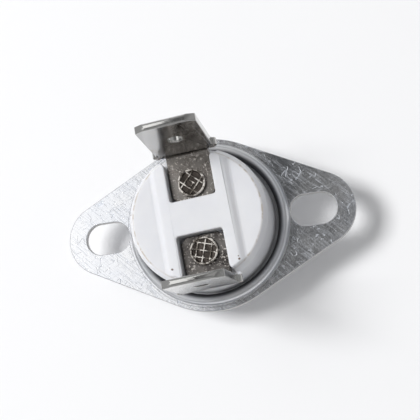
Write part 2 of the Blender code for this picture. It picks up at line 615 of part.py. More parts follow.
def main():
    for old in list(bpy.data.objects):
        bpy.data.objects.remove(old, do_unlink=True)

    aluminium = material("drawn aluminium", (0.62, 0.64, 0.67), 0.32, 1.0)
    bimetal = material("bimetal strip", (0.52, 0.50, 0.47), 0.35, 1.0)
    guide_ceramic = material("guide ceramic", (0.80, 0.78, 0.72), 0.55)
    pin_ceramic = material("pin ceramic", (0.86, 0.85, 0.82), 0.45)
    body_ceramic = material("body ceramic", (0.78, 0.79, 0.81), 0.38)
    upper_nickel = material("nickel of the upper terminal", (0.48, 0.46, 0.43), 0.28, 1.0)
    lower_nickel = material("nickel of the lower terminal", (0.48, 0.46, 0.43), 0.28, 1.0)
    upper_rivet_steel = material("plated steel of the upper rivet", (0.58, 0.55, 0.50), 0.3, 1.0)
    lower_rivet_steel = material("plated steel of the lower rivet", (0.58, 0.55, 0.50), 0.3, 1.0)
    spring_bronze = material("spring bronze", (0.72, 0.49, 0.27), 0.3, 1.0)
    washer_steel = material("washer steel", (0.55, 0.54, 0.52), 0.35, 1.0)
    plate_brass = material("plate brass", (0.74, 0.58, 0.30), 0.32, 1.0)
    moving_silver = material("moving contact silver", (0.83, 0.82, 0.79), 0.25, 1.0)
    fixed_silver = material("fixed contact silver", (0.83, 0.82, 0.79), 0.25, 1.0)

    cup = make_flanged_cup(aluminium)

    body_axis = bpy.data.objects.new("body_axis", None)
    bpy.context.scene.collection.objects.link(body_axis)
    body_axis.location = (BODY_SHIFT, 0.0, 0.0)
    body_axis.rotation_euler = (0.0, 0.0, BODY_TURN)

    make_bimetal_disc(bimetal, cup)
    make_disc_guide(guide_ceramic, body_axis)
    make_push_pin(pin_ceramic, body_axis)
    make_ceramic_body(body_ceramic, body_axis)
    make_terminal("upper_terminal", upper_nickel, body_axis, 1, UPPER_LEAN)
    make_terminal("lower_terminal", lower_nickel, body_axis, -1, LOWER_LEAN)
    make_rivet("upper_rivet", upper_rivet_steel, body_axis, 1, WASHER_LOW - SEAT_GAP)
    make_rivet("lower_rivet", lower_rivet_steel, body_axis, -1, PLATE_LOW - SEAT_GAP)
    make_arm_washer(washer_steel, body_axis)

    arm_axis = bpy.data.objects.new("arm_axis", None)
    bpy.context.scene.collection.objects.link(arm_axis)
    arm_axis.parent = body_axis
    arm_axis.location = (0.0, RIVET_OFFSET, ARM_LOW + ARM_THICKNESS / 2)
    make_contact_arm(spring_bronze, arm_axis)
    under_arm = (0.0, -RIVET_OFFSET - CONTACT_OFFSET, -ARM_THICKNESS / 2 - SEAT_GAP)
    make_contact("moving_contact", moving_silver, arm_axis, under_arm, MOVING_CONTACT_HEIGHT, ARM_THICKNESS, -1)

    make_fixed_contact_plate(plate_brass, body_axis)
    on_plate = (0.0, -CONTACT_OFFSET, PLATE_HIGH + SEAT_GAP)
    make_contact("fixed_contact", fixed_silver, body_axis, on_plate, FIXED_CONTACT_HEIGHT, FIXED_PLATE_THICKNESS, 1)


main()
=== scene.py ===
# %% [markdown]
# # A snap-disc thermal switch, dressed for a studio picture
# The switch is a white ceramic body crimped into a drawn aluminium cup. The cup's brim is a diamond-shaped
# mounting flange, and two folded nickel tabs are riveted to the ceramic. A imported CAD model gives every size
# and place. This lesson models the pieces that show, finishes all of them, and lights the set.
# The small inner pieces keep their CAD shapes, because nothing but their finish can be seen.

# %% Load the frame
import math

import bmesh
import bpy
from mathutils import Matrix, Vector


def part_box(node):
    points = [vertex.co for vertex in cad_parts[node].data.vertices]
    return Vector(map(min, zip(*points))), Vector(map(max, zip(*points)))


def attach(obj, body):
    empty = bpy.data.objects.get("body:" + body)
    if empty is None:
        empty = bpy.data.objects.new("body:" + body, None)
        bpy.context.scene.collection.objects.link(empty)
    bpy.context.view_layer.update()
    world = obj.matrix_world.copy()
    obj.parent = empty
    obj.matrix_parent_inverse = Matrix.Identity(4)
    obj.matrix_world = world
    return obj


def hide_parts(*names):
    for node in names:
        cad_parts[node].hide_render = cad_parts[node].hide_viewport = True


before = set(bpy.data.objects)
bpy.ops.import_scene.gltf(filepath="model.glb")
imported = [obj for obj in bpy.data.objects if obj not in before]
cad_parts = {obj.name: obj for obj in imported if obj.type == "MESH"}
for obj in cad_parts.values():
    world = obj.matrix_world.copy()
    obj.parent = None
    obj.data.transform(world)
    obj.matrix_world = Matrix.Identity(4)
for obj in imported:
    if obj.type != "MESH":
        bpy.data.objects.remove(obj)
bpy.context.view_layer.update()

# %% [markdown]
# ## Working in millimetres
# The switch is 33 mm long, and Blender's tools are easier to steer with numbers near one. So each piece is
# modelled in millimetres with its origin on the cup's axis, and scaled to metres as its last step.
# The ceramic and all that is fastened to it sit a little turned in the cup, as on the real switch. They
# are modelled square to the axes first, and turned together with the last step.

# %% Units and small helpers
MM = 0.001
BODY_TURN = math.radians(4.2)
BODY_SHIFT = -0.2


def clear_selection():
    if bpy.context.mode != "OBJECT":
        bpy.ops.object.mode_set(mode="OBJECT")
    bpy.ops.object.select_all(action="DESELECT")


def choose(piece):
    """Makes one object the only selected and active one."""
    clear_selection()
    piece.select_set(True)
    bpy.context.view_layer.objects.active = piece


def edit(piece):
    """Opens a piece in edit mode with all of it selected."""
    choose(piece)
    bpy.ops.object.mode_set(mode="EDIT")
    bpy.ops.mesh.select_mode(type="VERT")
    bpy.ops.mesh.select_all(action="SELECT")


def pick_faces(test):
    """In edit mode, selects the faces whose centre and normal pass a test."""
    bpy.ops.mesh.select_mode(type="FACE")
    bpy.ops.mesh.select_all(action="DESELECT")
    mesh = bmesh.from_edit_mesh(bpy.context.active_object.data)
    for face in mesh.faces:
        face.select_set(test(face.calc_center_median(), face.normal))
    bmesh.update_edit_mesh(bpy.context.active_object.data)


def pick_edges(test):
    """In edit mode, selects the edges whose middle and direction pass a test."""
    bpy.ops.mesh.select_mode(type="EDGE")
    bpy.ops.mesh.select_all(action="DESELECT")
    mesh = bmesh.from_edit_mesh(bpy.context.active_object.data)
    for edge in mesh.edges:
        start, end = (vert.co for vert in edge.verts)
        edge.select_set(test((start + end) / 2, (end - start).normalized()))
    bmesh.update_edit_mesh(bpy.context.active_object.data)


def settle(piece, turn=0.0, shift=0.0):
    """Turns and shifts a finished piece, scales it to metres and leaves its object at the origin."""
    choose(piece)
    piece.rotation_euler = (0.0, 0.0, turn)
    piece.location = (shift * MM, 0.0, 0.0)
    piece.scale = (MM, MM, MM)
    bpy.ops.object.transform_apply(location=True, rotation=True, scale=True)
    return piece


# %% [markdown]
# ## Drawing a section
# A turned or drawn piece is one section, spun round its axis. The section starts from a plane that is merged
# to a single point, and the point is extruded along the line of the section. Arcs are worked out, so
# that a fold or a fillet has its true radius. A flat outline is drawn the same way, filled and extruded.

# %% Tracing, spinning and extruding
def arc(x, y, radius, start, end, steps):
    """Points on an arc round (x, y), between two angles in degrees."""
    angles = [math.radians(start + (end - start) * step / steps) for step in range(steps + 1)]
    return [(x + radius * math.cos(angle), y + radius * math.sin(angle)) for angle in angles]


def trace(name, points):
    """One point, extruded along a line of points; the piece stays in edit mode."""
    clear_selection()
    bpy.ops.mesh.primitive_plane_add(size=1.0, location=(0.0, 0.0, 0.0))
    piece = bpy.context.active_object
    piece.name = name
    piece.data.name = name
    edit(piece)
    bpy.ops.mesh.merge(type="CENTER")
    bpy.ops.transform.translate(value=points[0])
    for before, after in zip(points, points[1:]):
        bpy.ops.mesh.extrude_region_move(TRANSFORM_OT_translate={"value": Vector(after) - Vector(before)})
    return piece


def close_up(piece, same=0.0005):
    """Merges double points and turns the faces outwards."""
    edit(piece)
    bpy.ops.mesh.remove_doubles(threshold=same)
    bpy.ops.mesh.normals_make_consistent(inside=False)
    bpy.ops.object.mode_set(mode="OBJECT")
    return piece


def spun(name, section, steps):
    """Spins a section of (radius, height) points, from axis to axis, round Z."""
    piece = trace(name, [(radius, 0.0, height) for radius, height in section])
    bpy.ops.mesh.select_all(action="SELECT")
    bpy.ops.mesh.spin(steps=steps, angle=math.tau, center=(0, 0, 0), axis=(0, 0, 1), use_auto_merge=True)
    return close_up(piece)


def prism(name, outline, low, high):
    """A flat outline of (x, y) points, filled and extruded from one height to another."""
    piece = trace(name, [(x, y, low) for x, y in outline])
    bpy.ops.mesh.select_all(action="SELECT")
    bpy.ops.mesh.edge_face_add()
    bpy.ops.mesh.extrude_region_move(TRANSFORM_OT_translate={"value": (0.0, 0.0, high - low)})
    return close_up(piece)


# The solver may return its points in another order each time, and a bevel depends on that order. Sorted by
# their distance from the 3-D cursor, which stands at an odd place, they give the same mesh in every run.
bpy.context.scene.cursor.location = (31.7, -17.3, 53.9)


def combine(piece, other, operation):
    """Cuts one piece with another or joins them, removes the helper, and sorts the points."""
    choose(piece)
    step = piece.modifiers.new("combine", "BOOLEAN")
    step.operation = operation
    step.solver = "EXACT"
    step.object = other
    bpy.ops.object.modifier_apply(modifier=step.name)
    bpy.data.objects.remove(other, do_unlink=True)
    edit(piece)
    bpy.ops.mesh.sort_elements(type="CURSOR_DISTANCE", elements={"VERT", "EDGE", "FACE"})
    bpy.ops.object.mode_set(mode="OBJECT")


# %% [markdown]
# ## Soft edges
# No real edge is sharp, and a thin highlight along each edge is what makes metal and ceramic look real.
# Cuts leave tiny slivers that would stop a bevel, so flat areas are first joined to single faces and close
# points merged. Then a Bevel modifier rounds what is sharper than a given angle, and weighted normals keep
# the flat faces flat beside the rounded strips.

# %% Rounding and shading
FLAT_WITHIN = math.radians(0.3)


def round_edges(piece, width, segments, sharper_than=35, same=0.02):
    edit(piece)
    bpy.ops.mesh.dissolve_limited(angle_limit=FLAT_WITHIN)
    bpy.ops.mesh.select_all(action="SELECT")
    bpy.ops.mesh.remove_doubles(threshold=same)
    choose(piece)
    step = piece.modifiers.new("soft edges", "BEVEL")
    step.width = width
    step.segments = segments
    step.limit_method = "ANGLE"
    step.angle_limit = math.radians(sharper_than)
    step.use_clamp_overlap = False
    bpy.ops.object.modifier_apply(modifier=step.name)
    close_up(piece)


def smooth(piece, angle=35):
    choose(piece)
    bpy.ops.object.shade_smooth_by_angle(angle=math.radians(angle))
    step = piece.modifiers.new("flat faces stay flat", "WEIGHTED_NORMAL")
    step.keep_sharp = True
    bpy.ops.object.modifier_apply(modifier=step.name)
    print(piece.name, "has", len(piece.data.polygons), "faces")


# %% [markdown]
# ## The drawn cup and its flange
# The real one is a single aluminium sheet: a disc drawn down to a stepped cup, its wall rolled over the
# ceramic as a crimped ring, and its brim punched to a rounded diamond with two slots. The sheet's outline
# is what a string round three discs would follow, so the flange is the convex hull of three cylinders,
# and each slot the hull of two. The cup is one spun section. The two are joined after the flange's punched
# edges have been rounded.

# %% Sizes of the flange
FLANGE_LOW = 4.4
FLANGE_HIGH = 5.1
FLANGE_MIDDLE_RADIUS = 9.9
FLANGE_END_RADIUS = 4.2
FLANGE_END_OFFSET = 12.4
SLOT_OFFSET = 11.9
SLOT_WIDTH = 3.6
SLOT_LENGTH = 5.2
PUNCHED_EDGE = 0.1
ROUND_STEPS = 160


def hull_of_discs(name, discs, low, high):
    """The plate that a string round several discs would enclose."""
    clear_selection()
    (x, y, radius), *others = discs
    size = {"vertices": ROUND_STEPS, "depth": high - low}
    middle = (low + high) / 2
    bpy.ops.mesh.primitive_cylinder_add(radius=radius, location=(x, y, middle), **size)
    piece = bpy.context.active_object
    piece.name = name
    piece.data.name = name
    bpy.ops.object.transform_apply(location=True, rotation=False, scale=False)
    bpy.ops.object.mode_set(mode="EDIT")
    for x, y, radius in others:
        bpy.ops.mesh.primitive_cylinder_add(radius=radius, location=(x, y, middle), **size)
    bpy.ops.mesh.select_all(action="SELECT")
    bpy.ops.mesh.convex_hull()
    bpy.ops.mesh.dissolve_limited(angle_limit=FLAT_WITHIN)
    return close_up(piece)


# %% Punch the flange
ends = [(side * FLANGE_END_OFFSET, 0.0, FLANGE_END_RADIUS) for side in (-1, 1)]
cup = hull_of_discs("cup", [(0.0, 0.0, FLANGE_MIDDLE_RADIUS)] + ends, FLANGE_LOW, FLANGE_HIGH)
slot_reach = (SLOT_LENGTH - SLOT_WIDTH) / 2
for side in (-1, 1):
    middles = [side * SLOT_OFFSET - slot_reach, side * SLOT_OFFSET + slot_reach]
    discs = [(x, 0.0, SLOT_WIDTH / 2) for x in middles]
    combine(cup, hull_of_discs("slot", discs, FLANGE_LOW - 1, FLANGE_HIGH + 1), "DIFFERENCE")
round_edges(cup, PUNCHED_EDGE, 3)
print("flange with", len(cup.data.polygons), "faces")

# %% Sizes of the drawn section
CUP_WALL = 0.45
CUP_OUTER_RADIUS = 8.95
CUP_INNER_RADIUS = 8.5
DISC_CUP_RADIUS = 6.7
CORNER_RADIUS = 1.3
LEDGE_HEIGHT = 2.6
STEP_ROUND = 0.3
ROOT_ROUND = 0.2
RING_HEIGHT = 0.75
RING_CREST_RADIUS = 8.8
LIP_RADIUS = 8.0
LIP_HEIGHT = 0.3
RING_FOOT = 0.1
BURIED = 0.03
OPENING_RADIUS = 8.72
OPENING_LOW = 3.4
OPENING_HIGH = 6.1


def crown(edge_radius, edge_height, steps=12):
    """Quarter of an oval from the ring's foot or lip up to its crest."""
    points = []
    for step in range(steps + 1):
        angle = math.pi / 2 * step / steps
        radius = RING_CREST_RADIUS + (edge_radius - RING_CREST_RADIUS) * math.cos(angle)
        points.append((radius, FLANGE_HIGH + edge_height + (RING_HEIGHT - edge_height) * math.sin(angle)))
    return points


def cup_section():
    """Outside from the axis up to the ring, then over it and back down inside."""
    corner_radius = DISC_CUP_RADIUS - CORNER_RADIUS
    corner_height = CUP_WALL + CORNER_RADIUS
    ledge_under = LEDGE_HEIGHT - CUP_WALL
    wide = STEP_ROUND + CUP_WALL
    foot = CUP_OUTER_RADIUS + ROOT_ROUND
    section = [(0.0, 0.0)]
    section += arc(corner_radius, corner_height, CORNER_RADIUS + CUP_WALL, -90, 0, 12)
    section += arc(DISC_CUP_RADIUS + wide, ledge_under - STEP_ROUND, STEP_ROUND, 180, 90, 6)
    section += arc(CUP_OUTER_RADIUS - wide, ledge_under + wide, wide, -90, 0, 8)
    section += arc(foot, FLANGE_LOW - ROOT_ROUND, ROOT_ROUND, 180, 80, 6)
    section.append((foot + BURIED, FLANGE_LOW + BURIED))
    section.append((foot + 2 * BURIED, FLANGE_HIGH - BURIED))
    section += crown(foot, RING_FOOT)[:-1]
    section += reversed(crown(LIP_RADIUS, LIP_HEIGHT))
    section += [(LIP_RADIUS, FLANGE_HIGH), (CUP_INNER_RADIUS, FLANGE_HIGH)]
    section += arc(CUP_INNER_RADIUS - STEP_ROUND, LEDGE_HEIGHT + STEP_ROUND, STEP_ROUND, 0, -90, 6)
    section += arc(DISC_CUP_RADIUS + wide, LEDGE_HEIGHT - wide, wide, 90, 180, 6)
    section += arc(corner_radius, corner_height, CORNER_RADIUS, 0, -90, 10)
    section.append((0.0, CUP_WALL))
    return section


# %% Spin the cup and join it to the flange
opening = [(0.0, OPENING_LOW), (OPENING_RADIUS, OPENING_LOW)]
opening += [(OPENING_RADIUS, OPENING_HIGH), (0.0, OPENING_HIGH)]
combine(cup, spun("mouth", opening, ROUND_STEPS), "DIFFERENCE")
combine(cup, spun("shell", cup_section(), ROUND_STEPS), "UNION")
close_up(cup, 0.002)
smooth(cup, 32)
settle(cup)
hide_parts("flanged_cup")
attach(cup, "housing")

# %% [markdown]
# ## The ceramic body
# Steatite is pressed in a steel die and fired, so the body has a round blank's shape with plain cuts:
# two side steps that leave a raised H, and two pockets for the terminals, which flare where they meet
# the wall. A die leaves slightly soft edges everywhere. The blank is spun, the steps and pockets are cut,
# and every edge is rounded. The rivet holes and the hidden chamber come last and keep their sharp edges.

# %% Sizes of the ceramic body
BODY_LOW = 3.6
BODY_RIM_RADIUS = 8.2
BODY_RIM_TOP = 4.8
BODY_NECK_RADIUS = 7.8
WALL_TOP_RADIUS = 7.6
WALL_TOP = 10.0
BODY_TOP_RADIUS = 7.1
BODY_TOP = 10.7
H_END_RADIUS = 6.95
H_TOP = 11.15
H_HALF_WIDTH = 3.8
H_FOOT_HALF_WIDTH = 4.4
BAR_HALF_WIDTH = 1.9
POCKET_HALF_WIDTH = 2.55
POCKET_FLOOR = 8.95
POCKET_CORNER = 0.3
MOUTH_ROUND = 0.7
MOUTH_START = 5.85
MOUTH_FLARE = 60
CERAMIC_EDGE = 0.14
CLOSE_POINTS = 0.1
RIVET_OFFSET = 3.8
RIVET_HOLE = 1.0
ABOVE = 13.0
BELOW = 2.0
BEYOND = 9.5

# %% Spin the blank
section = [(0.0, BODY_LOW), (BODY_RIM_RADIUS, BODY_LOW), (BODY_RIM_RADIUS, BODY_RIM_TOP)]
section += [(BODY_NECK_RADIUS, BODY_RIM_TOP), (WALL_TOP_RADIUS, WALL_TOP)]
section += [(BODY_TOP_RADIUS, BODY_TOP), (H_END_RADIUS, H_TOP), (0.0, H_TOP)]
body = spun("body", section, ROUND_STEPS)


# %% Cut the side steps and the pockets, round the edges and drill the rivet holes
def rod(name, radius, low, high, y=0.0, steps=96):
    clear_selection()
    place = (0.0, y, (low + high) / 2)
    bpy.ops.mesh.primitive_cylinder_add(vertices=steps, radius=radius, depth=high - low, location=place)
    piece = bpy.context.active_object
    piece.name = name
    return piece


def step_cutter(side):
    """A block whose inner face leans like the H's flank, with a fillet along its lower edge."""
    foot = (H_FOOT_HALF_WIDTH, BODY_TOP)
    lean = (H_FOOT_HALF_WIDTH - H_HALF_WIDTH) / (H_TOP - BODY_TOP)
    top = (H_HALF_WIDTH - lean * (ABOVE - H_TOP), ABOVE)
    outline = [foot, top, (BEYOND, ABOVE), (BEYOND, BODY_TOP)]
    cutter = prism("step", [(side * x, z) for x, z in outline], -BEYOND, BEYOND)
    cutter.rotation_euler = (math.radians(90), 0.0, 0.0)
    return cutter


def pocket_outline(side):
    turn_in = POCKET_CORNER
    right = arc(POCKET_HALF_WIDTH - turn_in, BAR_HALF_WIDTH + turn_in, turn_in, -90, 0, 4)
    right += arc(POCKET_HALF_WIDTH + MOUTH_ROUND, MOUTH_START, MOUTH_ROUND, 180, 180 - MOUTH_FLARE, 6)
    x, y = right[-1]
    right.append((x + (BEYOND - y) * math.tan(math.radians(MOUTH_FLARE)), BEYOND))
    outline = right + [(-x, y) for x, y in reversed(right)]
    return [(side * x, side * y) for x, y in outline]


for side in (-1, 1):
    combine(body, step_cutter(side), "DIFFERENCE")
    combine(body, prism("pocket", pocket_outline(side), POCKET_FLOOR, ABOVE), "DIFFERENCE")
round_edges(body, CERAMIC_EDGE, 3, 30, CLOSE_POINTS)
for side in (-1, 1):
    combine(body, rod("rivet hole", RIVET_HOLE, BELOW, ABOVE, side * RIVET_OFFSET, 48), "DIFFERENCE")

# %% Hollow out the switch chamber
CHAMBER_RADIUS = 5.9
CHAMBER_STEP = 0.2
PLATE_PAD = 5.25
ARM_PAD = 6.75
CHAMBER_ROOF = 7.85
MIDDLE_HALF_WIDTH = 3.0

arm_room = CHAMBER_RADIUS - CHAMBER_STEP
middle_room = arm_room - CHAMBER_STEP
reach = math.degrees(math.asin(MIDDLE_HALF_WIDTH / middle_room))
middle_outline = arc(0, 0, middle_room, -reach, reach, 31)
middle_outline += arc(0, 0, middle_room, 180 - reach, 180 + reach, 31)
combine(body, rod("low room", CHAMBER_RADIUS, BELOW, PLATE_PAD), "DIFFERENCE")
combine(body, prism("arm room", arc(0, 0, arm_room, 0, 180, 61), BELOW, ARM_PAD), "DIFFERENCE")
combine(body, prism("middle room", middle_outline, BELOW, CHAMBER_ROOF), "DIFFERENCE")
close_up(body)
smooth(body, 35)
settle(body, BODY_TURN, BODY_SHIFT)
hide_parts("ceramic_body")
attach(body, "housing")

# %% [markdown]
# ## The folded terminals
# Each terminal is one strip of nickel-plated sheet: a flat foot under its rivet, a tight fold, and an
# upright tab with a hole, cut corners, a bevelled tip and two small lugs. The same steps make it here:
# the strip is extruded, its end is spun through the fold and extruded again, and the tab's sides are pulled
# out to its full width. Bisecting planes cut the corners.

# %% Sizes of the terminals
SHEET = 0.8
STRIP_LOW = 9.05
STRIP_HALF_WIDTH = 2.4
STRIP_START = 2.0
STRIP_CORNER = 0.6
FOLD_START = 6.8
FOLD_RADIUS = 0.35
TAB_HALF_WIDTH = 3.175
TAB_LENGTH = 9.45
TIP_CUT_ACROSS = 1.1
TIP_CUT_ALONG = 0.45
TIP_BEVEL = 0.22
TAB_HOLE_RADIUS = 0.85
TAB_HOLE_FROM_TIP = 4.5
LUG_RADIUS = 0.45
LUG_RISE = 0.55
LUG_PROUD = 0.02
LUG_RIM = 0.14
LUG_DIMPLE = 0.6
LUG_WAIST = 0.5
SHEET_EDGE = 0.07
UPPER_LEAN = 3.0
LOWER_LEAN = 2.0


def fold_frame(lean):
    """The fold's angle, where the tab's middle plane starts, and the tab's direction."""
    angle = math.radians(90 - lean)
    middle = FOLD_RADIUS + SHEET / 2
    height = STRIP_LOW + SHEET + FOLD_RADIUS
    start = Vector((0.0, FOLD_START + middle * math.sin(angle), height - middle * math.cos(angle)))
    return angle, start, Vector((0.0, math.cos(angle), math.sin(angle)))


def fold_strip(name, lean):
    """A strip, its end spun through the fold and extruded up, then widened to the tab."""
    angle, start, along = fold_frame(lean)
    outline = [(-STRIP_HALF_WIDTH, STRIP_START), (STRIP_HALF_WIDTH, STRIP_START)]
    outline += [(STRIP_HALF_WIDTH, FOLD_START), (-STRIP_HALF_WIDTH, FOLD_START)]
    piece = prism(name, outline, STRIP_LOW, STRIP_LOW + SHEET)
    edit(piece)
    pick_faces(lambda centre, normal: normal.y > 0.9)
    fold_centre = (0.0, FOLD_START, STRIP_LOW + SHEET + FOLD_RADIUS)
    bpy.ops.mesh.spin(steps=14, angle=angle, center=fold_centre, axis=(-1, 0, 0))
    bpy.ops.mesh.extrude_region_move(TRANSFORM_OT_translate={"value": along * TAB_LENGTH})
    widen = TAB_HALF_WIDTH - STRIP_HALF_WIDTH
    for side in (-1, 1):
        pick_faces(lambda centre, normal: normal.x * side > 0.9 and (centre - start).dot(along) > 0.1)
        bpy.ops.mesh.extrude_region_move(TRANSFORM_OT_translate={"value": (side * widen, 0.0, 0.0)})
    bpy.ops.object.mode_set(mode="OBJECT")
    return close_up(piece)


def cut_corner(piece, point, normal):
    """Cuts off what lies beyond a plane, and fills the cut."""
    edit(piece)
    bpy.ops.mesh.bisect(plane_co=point, plane_no=normal, use_fill=True, clear_outer=True)
    bpy.ops.object.mode_set(mode="OBJECT")


def make_terminal(name, node, lean, turn):
    angle, start, along = fold_frame(lean)
    piece = fold_strip(name, lean)
    tip = start + along * TAB_LENGTH
    for side in (-1, 1):
        across = Vector((side, 0.0, 0.0))
        corner = tip + across * (TAB_HALF_WIDTH - TIP_CUT_ACROSS)
        cut_corner(piece, corner, across * TIP_CUT_ALONG + along * TIP_CUT_ACROSS)
        inner = Vector((side * (STRIP_HALF_WIDTH - STRIP_CORNER), STRIP_START, 0.0))
        cut_corner(piece, inner, Vector((side, -1.0, 0.0)))
    close_up(piece)
    edit(piece)
    pick_edges(lambda middle, way: (middle - tip).dot(along) > -0.01 and abs(way.x) > 0.9)
    bpy.ops.mesh.bevel(offset=TIP_BEVEL, segments=1)
    bpy.ops.object.mode_set(mode="OBJECT")
    for side in (-1, 1):
        lug = rod("lug", LUG_RADIUS, -SHEET / 2 - LUG_PROUD, SHEET / 2 + LUG_PROUD, steps=40)
        edit(lug)
        pick_faces(lambda centre, normal: abs(normal.z) > 0.9)
        bpy.ops.mesh.inset(thickness=LUG_RIM)
        bpy.ops.transform.resize(value=(LUG_DIMPLE, LUG_DIMPLE, LUG_WAIST))
        bpy.ops.object.mode_set(mode="OBJECT")
        lug.rotation_euler = (angle, 0.0, 0.0)
        lug.location = start + along * LUG_RISE + Vector((side * TAB_HALF_WIDTH, 0.0, 0.0))
        combine(piece, lug, "UNION")
    combine(piece, rod("rivet hole", RIVET_HOLE, BELOW, ABOVE, RIVET_OFFSET), "DIFFERENCE")
    punch = rod("tab hole", TAB_HOLE_RADIUS, -SHEET, SHEET)
    punch.rotation_euler = (angle, 0.0, 0.0)
    punch.location = tip - along * TAB_HOLE_FROM_TIP
    combine(piece, punch, "DIFFERENCE")
    round_edges(piece, SHEET_EDGE, 2, 32)
    smooth(piece, 35)
    settle(piece, turn, BODY_SHIFT)
    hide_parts(node)
    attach(piece, "housing")
    return piece


upper_tab = make_terminal("upper_tab", "upper_terminal", UPPER_LEAN, BODY_TURN)
lower_tab = make_terminal("lower_tab", "lower_terminal", LOWER_LEAN, BODY_TURN + math.pi)

# %% [markdown]
# ## The rivets
# The riveting tool has a grooved face, and it leaves a raised rim and raised crossing ridges on each head,
# with a sunken field between them. The rivet is one spun section. Each ridge is a bar with a narrowed crest.
# The bars are turned by the head's own angle, joined to a grid, trimmed to the field and joined to the head.

# %% Sizes of the rivets
HEAD_LOW = 9.95
HEAD_RADIUS = 1.55
HEAD_HEIGHT = 0.4
HEAD_CHAMFER = 0.04
HEAD_ROUND = 0.14
HEAD_FIELD_HEIGHT = 0.2
HEAD_FIELD_RADIUS = 1.24
SHANK_RADIUS = 0.9
FOOT_RADIUS = 1.3
FOOT_HEIGHT = 0.5
RIDGE_FOOT = 0.34
RIDGE_CREST = 0.09
RIDGE_HEIGHT = 0.17
CROSS_LOWER = 0.015


def rivet_section(foot_low):
    foot_high = foot_low + FOOT_HEIGHT
    half = FOOT_HEIGHT / 2
    section = [(0.0, foot_low), (FOOT_RADIUS - half, foot_low), (FOOT_RADIUS, foot_low + half)]
    section += [(FOOT_RADIUS, foot_high), (SHANK_RADIUS, foot_high), (SHANK_RADIUS, HEAD_LOW)]
    section += [(HEAD_RADIUS - HEAD_CHAMFER, HEAD_LOW), (HEAD_RADIUS, HEAD_LOW + HEAD_CHAMFER)]
    rim_low = HEAD_LOW + HEAD_HEIGHT - HEAD_ROUND
    section += arc(HEAD_RADIUS - HEAD_ROUND, rim_low, HEAD_ROUND, 0, 110, 8)
    field = HEAD_LOW + HEAD_FIELD_HEIGHT
    return section + [(HEAD_FIELD_RADIUS, field + 0.01), (HEAD_FIELD_RADIUS - 0.06, field), (0.0, field)]


def ridge(across, length, turn, along=0.0, sunk=0.0):
    """One bar with a narrowed crest, at a distance from the head's middle and turned round it."""
    clear_selection()
    bpy.ops.mesh.primitive_cube_add(size=1.0, location=(0.0, 0.0, 0.0))
    bar = bpy.context.active_object
    bar.name = "ridge"
    bar.scale = (RIDGE_FOOT, length, 2 * RIDGE_HEIGHT)
    bpy.ops.object.transform_apply(location=False, rotation=False, scale=True)
    edit(bar)
    pick_faces(lambda centre, normal: normal.z > 0.9)
    bpy.ops.transform.resize(value=(RIDGE_CREST / RIDGE_FOOT, 1.0, 1.0))
    bpy.ops.object.mode_set(mode="OBJECT")
    bar.location = (across, along, HEAD_LOW + HEAD_FIELD_HEIGHT - sunk)
    bpy.ops.object.transform_apply(location=True, rotation=False, scale=False)
    bar.rotation_euler = (0.0, 0.0, turn)
    return bar


def ridge_grid(lines, ticks, angle):
    """Ridges both ways at the given distances, with short ones between them, trimmed to the field."""
    grid = ridge(lines[0], 2 * HEAD_RADIUS, angle)
    for place in lines[1:]:
        combine(grid, ridge(place, 2 * HEAD_RADIUS, angle), "UNION")
    for place in lines:
        crossing = ridge(place, 2 * HEAD_RADIUS, angle + math.pi / 2, sunk=CROSS_LOWER)
        combine(grid, crossing, "UNION")
    for across, along, length, turn in ticks:
        combine(grid, ridge(across, length, angle + turn, along, 2 * CROSS_LOWER), "UNION")
    combine(grid, rod("trim", HEAD_FIELD_RADIUS + 0.02, HEAD_LOW - 1, ABOVE, steps=95), "INTERSECT")
    return grid


def make_rivet(name, node, side, lines, ticks, angle):
    foot_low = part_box(node)[0].z / MM
    piece = spun(name, rivet_section(foot_low), 96)
    combine(piece, ridge_grid(lines, ticks, angle), "UNION")
    close_up(piece, 0.001)
    smooth(piece, 30)
    choose(piece)
    piece.location = (0.0, side * RIVET_OFFSET, 0.0)
    bpy.ops.object.transform_apply(location=True, rotation=False, scale=False)
    settle(piece, BODY_TURN, BODY_SHIFT)
    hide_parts(node)
    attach(piece, "housing")
    return piece


upper_ticks = [(0.12, 0.0, 0.7, 0.0), (-0.2, 0.1, 0.5, math.pi / 2)]
upper_head = make_rivet("upper_head", "upper_rivet", 1, (-0.62, 0.62), upper_ticks, math.radians(45))
lower_head = make_rivet("lower_head", "lower_rivet", -1, (-0.78, 0.0, 0.78), [], math.radians(-20))

# %% [markdown]
# ## Shader groups
# Scratches, hairlines and mottling are used by several finishes, so each is a node group with named
# inputs. They read Object coordinates in metres, which stay on the piece when it moves. A group gives a mask
# or a height, and each material decides what to do with it.

# %% Node helpers
def new_group(name, inputs, outputs):
    group = bpy.data.node_groups.new(name, "ShaderNodeTree")
    for label, value in inputs.items():
        socket = group.interface.new_socket(name=label, in_out="INPUT", socket_type="NodeSocketFloat")
        socket.default_value = value
    for label in outputs:
        group.interface.new_socket(name=label, in_out="OUTPUT", socket_type="NodeSocketFloat")
    return group, group.nodes.new("NodeGroupInput"), group.nodes.new("NodeGroupOutput")


def node(tree, kind, links=None, values=None, **settings):
    """Adds a node, sets its properties and values, and links its inputs."""
    made = tree.nodes.new(kind)
    for key, value in settings.items():
        setattr(made, key, value)
    for key, value in (values or {}).items():
        made.inputs[key].default_value = value
    for key, source in (links or {}).items():
        tree.links.new(source, made.inputs[key])
    return made


def maths(tree, operation, first, second=None, clamp=False):
    """A Math node on sockets or plain numbers."""
    made = tree.nodes.new("ShaderNodeMath")
    made.operation = operation
    made.use_clamp = clamp
    for slot_number, source in enumerate((first, second)):
        if isinstance(source, (int, float)):
            made.inputs[slot_number].default_value = source
        elif source is not None:
            tree.links.new(source, made.inputs[slot_number])
    return made.outputs[0]


def plus(tree, first, second, clamp=False):
    return maths(tree, "ADD", first, second, clamp)


def times(tree, first, second):
    return maths(tree, "MULTIPLY", first, second)


